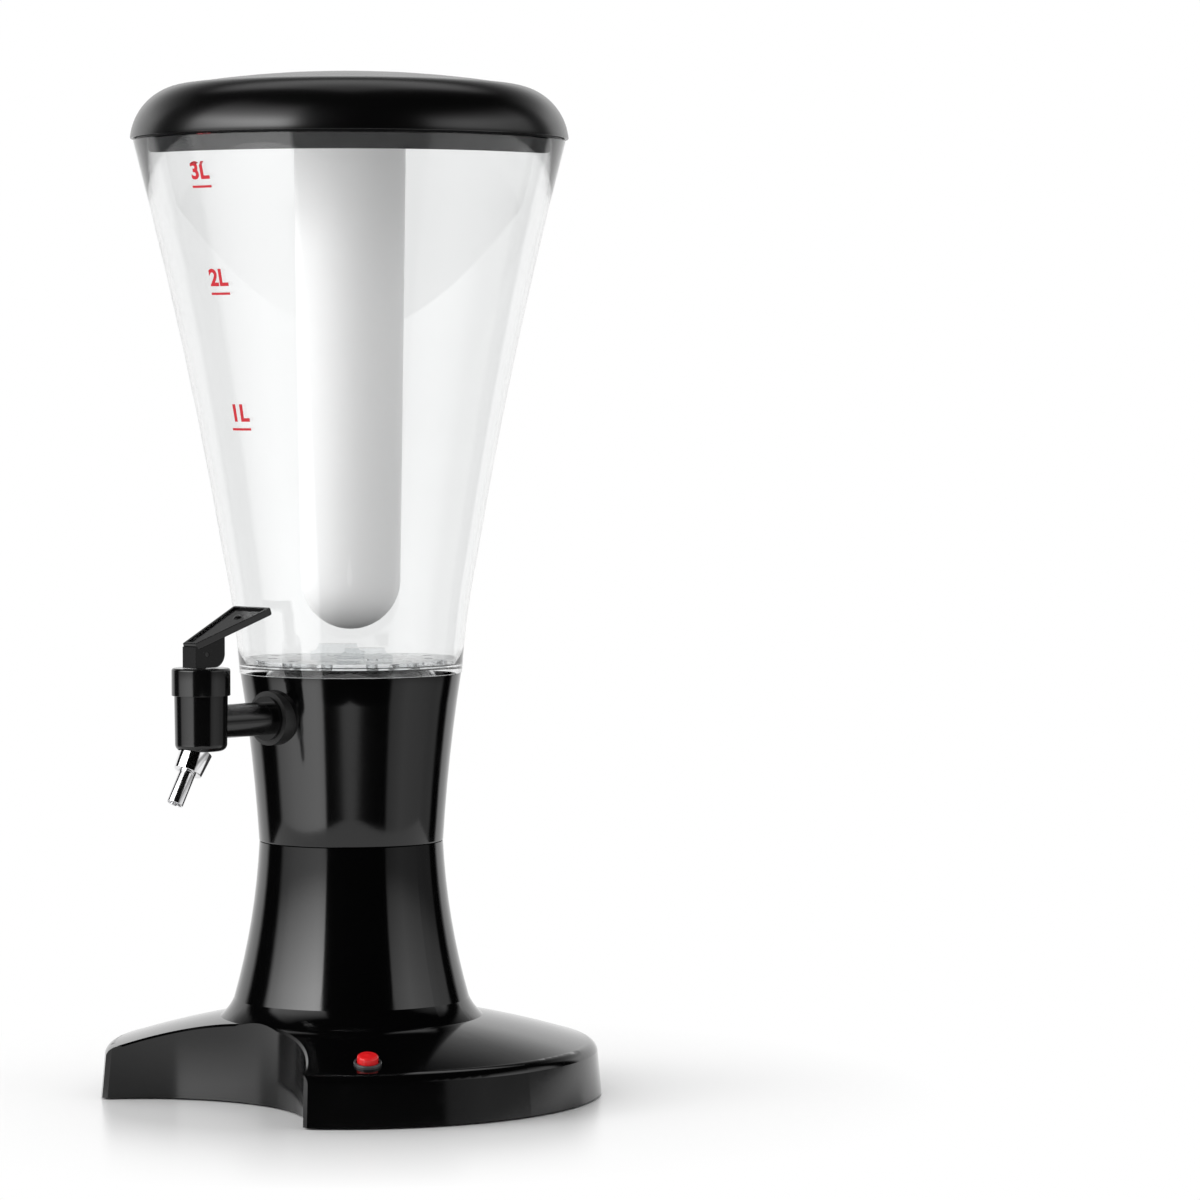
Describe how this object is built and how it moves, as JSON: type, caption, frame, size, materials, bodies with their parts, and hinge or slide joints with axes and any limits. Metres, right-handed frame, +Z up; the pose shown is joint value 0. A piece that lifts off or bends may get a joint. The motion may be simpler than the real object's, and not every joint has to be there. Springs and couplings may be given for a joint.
{
  "type": "beer tower dispenser",
  "caption": "Tabletop drink tower: clear flared vessel with an ice tube, domed lid, lever tap on the column, and a round base with a glass recess and a light button.",
  "frame": {"origin": "on the tower's axis, in the plane of the rubber feet", "axes": "+Z up along the tower's axis, -Y towards the tap and the glass recess, +X to the right seen from the tap"},
  "size_m": [0.228, 0.225, 0.4644],
  "materials": {
    "gloss_black": "smooth gloss black moulding",
    "satin_black": "satin black moulding",
    "liner_black": "fine textured dark moulding",
    "clear_wall": "clear polycarbonate",
    "clear_guard": "clear moulded plastic",
    "frosted_tube": "frosted translucent plastic",
    "polished_metal": "polished collar",
    "tube_steel": "drawn steel tube",
    "spring_steel": "spring wire",
    "seal_rubber": "moulded rubber",
    "button_red": "gloss red moulding",
    "bezel_grey": "dark ring",
    "board_green": "printed board",
    "lamp_clear": "clear lamp",
    "cell_wrap": "cell sleeve",
    "contact_metal": "plated spring strip",
    "screw_steel": "plated screw",
    "white_valve": "natural moulded stem",
    "nut_grey": "moulded nut"
  },
  "bodies": {
    "tower": {"base_shell": "gloss_black", "upper_body": "gloss_black", "vessel": "clear_wall", "outlet_guard": "clear_guard", "tap_body": "satin_black", "tap_outer_washer": "seal_rubber", "tap_inner_washer": "seal_rubber", "tap_nut": "nut_grey", "tap_cap": "satin_black", "valve_spring": "spring_steel", "nozzle_collar": "polished_metal", "nozzle_tube": "tube_steel", "switch_bezel": "bezel_grey", "switch_body": "satin_black", "base_plate": "satin_black", "battery_door": "satin_black", "battery_cells": "cell_wrap", "battery_contacts": "contact_metal", "rubber_feet": "seal_rubber", "plate_screws": "screw_steel", "column_screws": "screw_steel", "light_board": "board_green", "light_lamps": "lamp_clear", "board_screws": "screw_steel"},
    "lid": {"lid_cover": "gloss_black", "lid_liner": "liner_black", "ice_tube": "frosted_tube"},
    "stem": {"valve_stem": "white_valve", "plunger_seal": "seal_rubber", "lever_pin": "tube_steel"},
    "lever": {"tap_lever": "satin_black"},
    "button": {"light_button": "button_red"}
  },
  "joints": [
    {"name": "lid_lift", "type": "slide", "parent": "tower", "child": "lid", "axis": [0, 0, 1], "range_m": [0, 0.26]},
    {"name": "stem_lift", "type": "slide", "parent": "tower", "child": "stem", "axis": [0, 0, 1], "range_m": [0, 0.0027], "stiffness_N_per_m": 150, "springref_m": -0.007, "deforming": ["valve_spring"]},
    {"name": "lever_press", "type": "hinge", "parent": "stem", "child": "lever", "pos_m": [0, -0.092, 0.2044], "axis": [-1, 0, 0], "range_deg": [0, 37]},
    {"name": "button_press", "type": "slide", "parent": "tower", "child": "button", "axis": [-0.2112, 0.1772, -0.9613], "range_m": [0, 0.0015], "stiffness_N_per_m": 600, "springref_m": -0.002}
  ],
  "couplings": [
    {"joint": "lever_press", "follows": "stem_lift", "rad_per_m": 224.72}
  ]
}
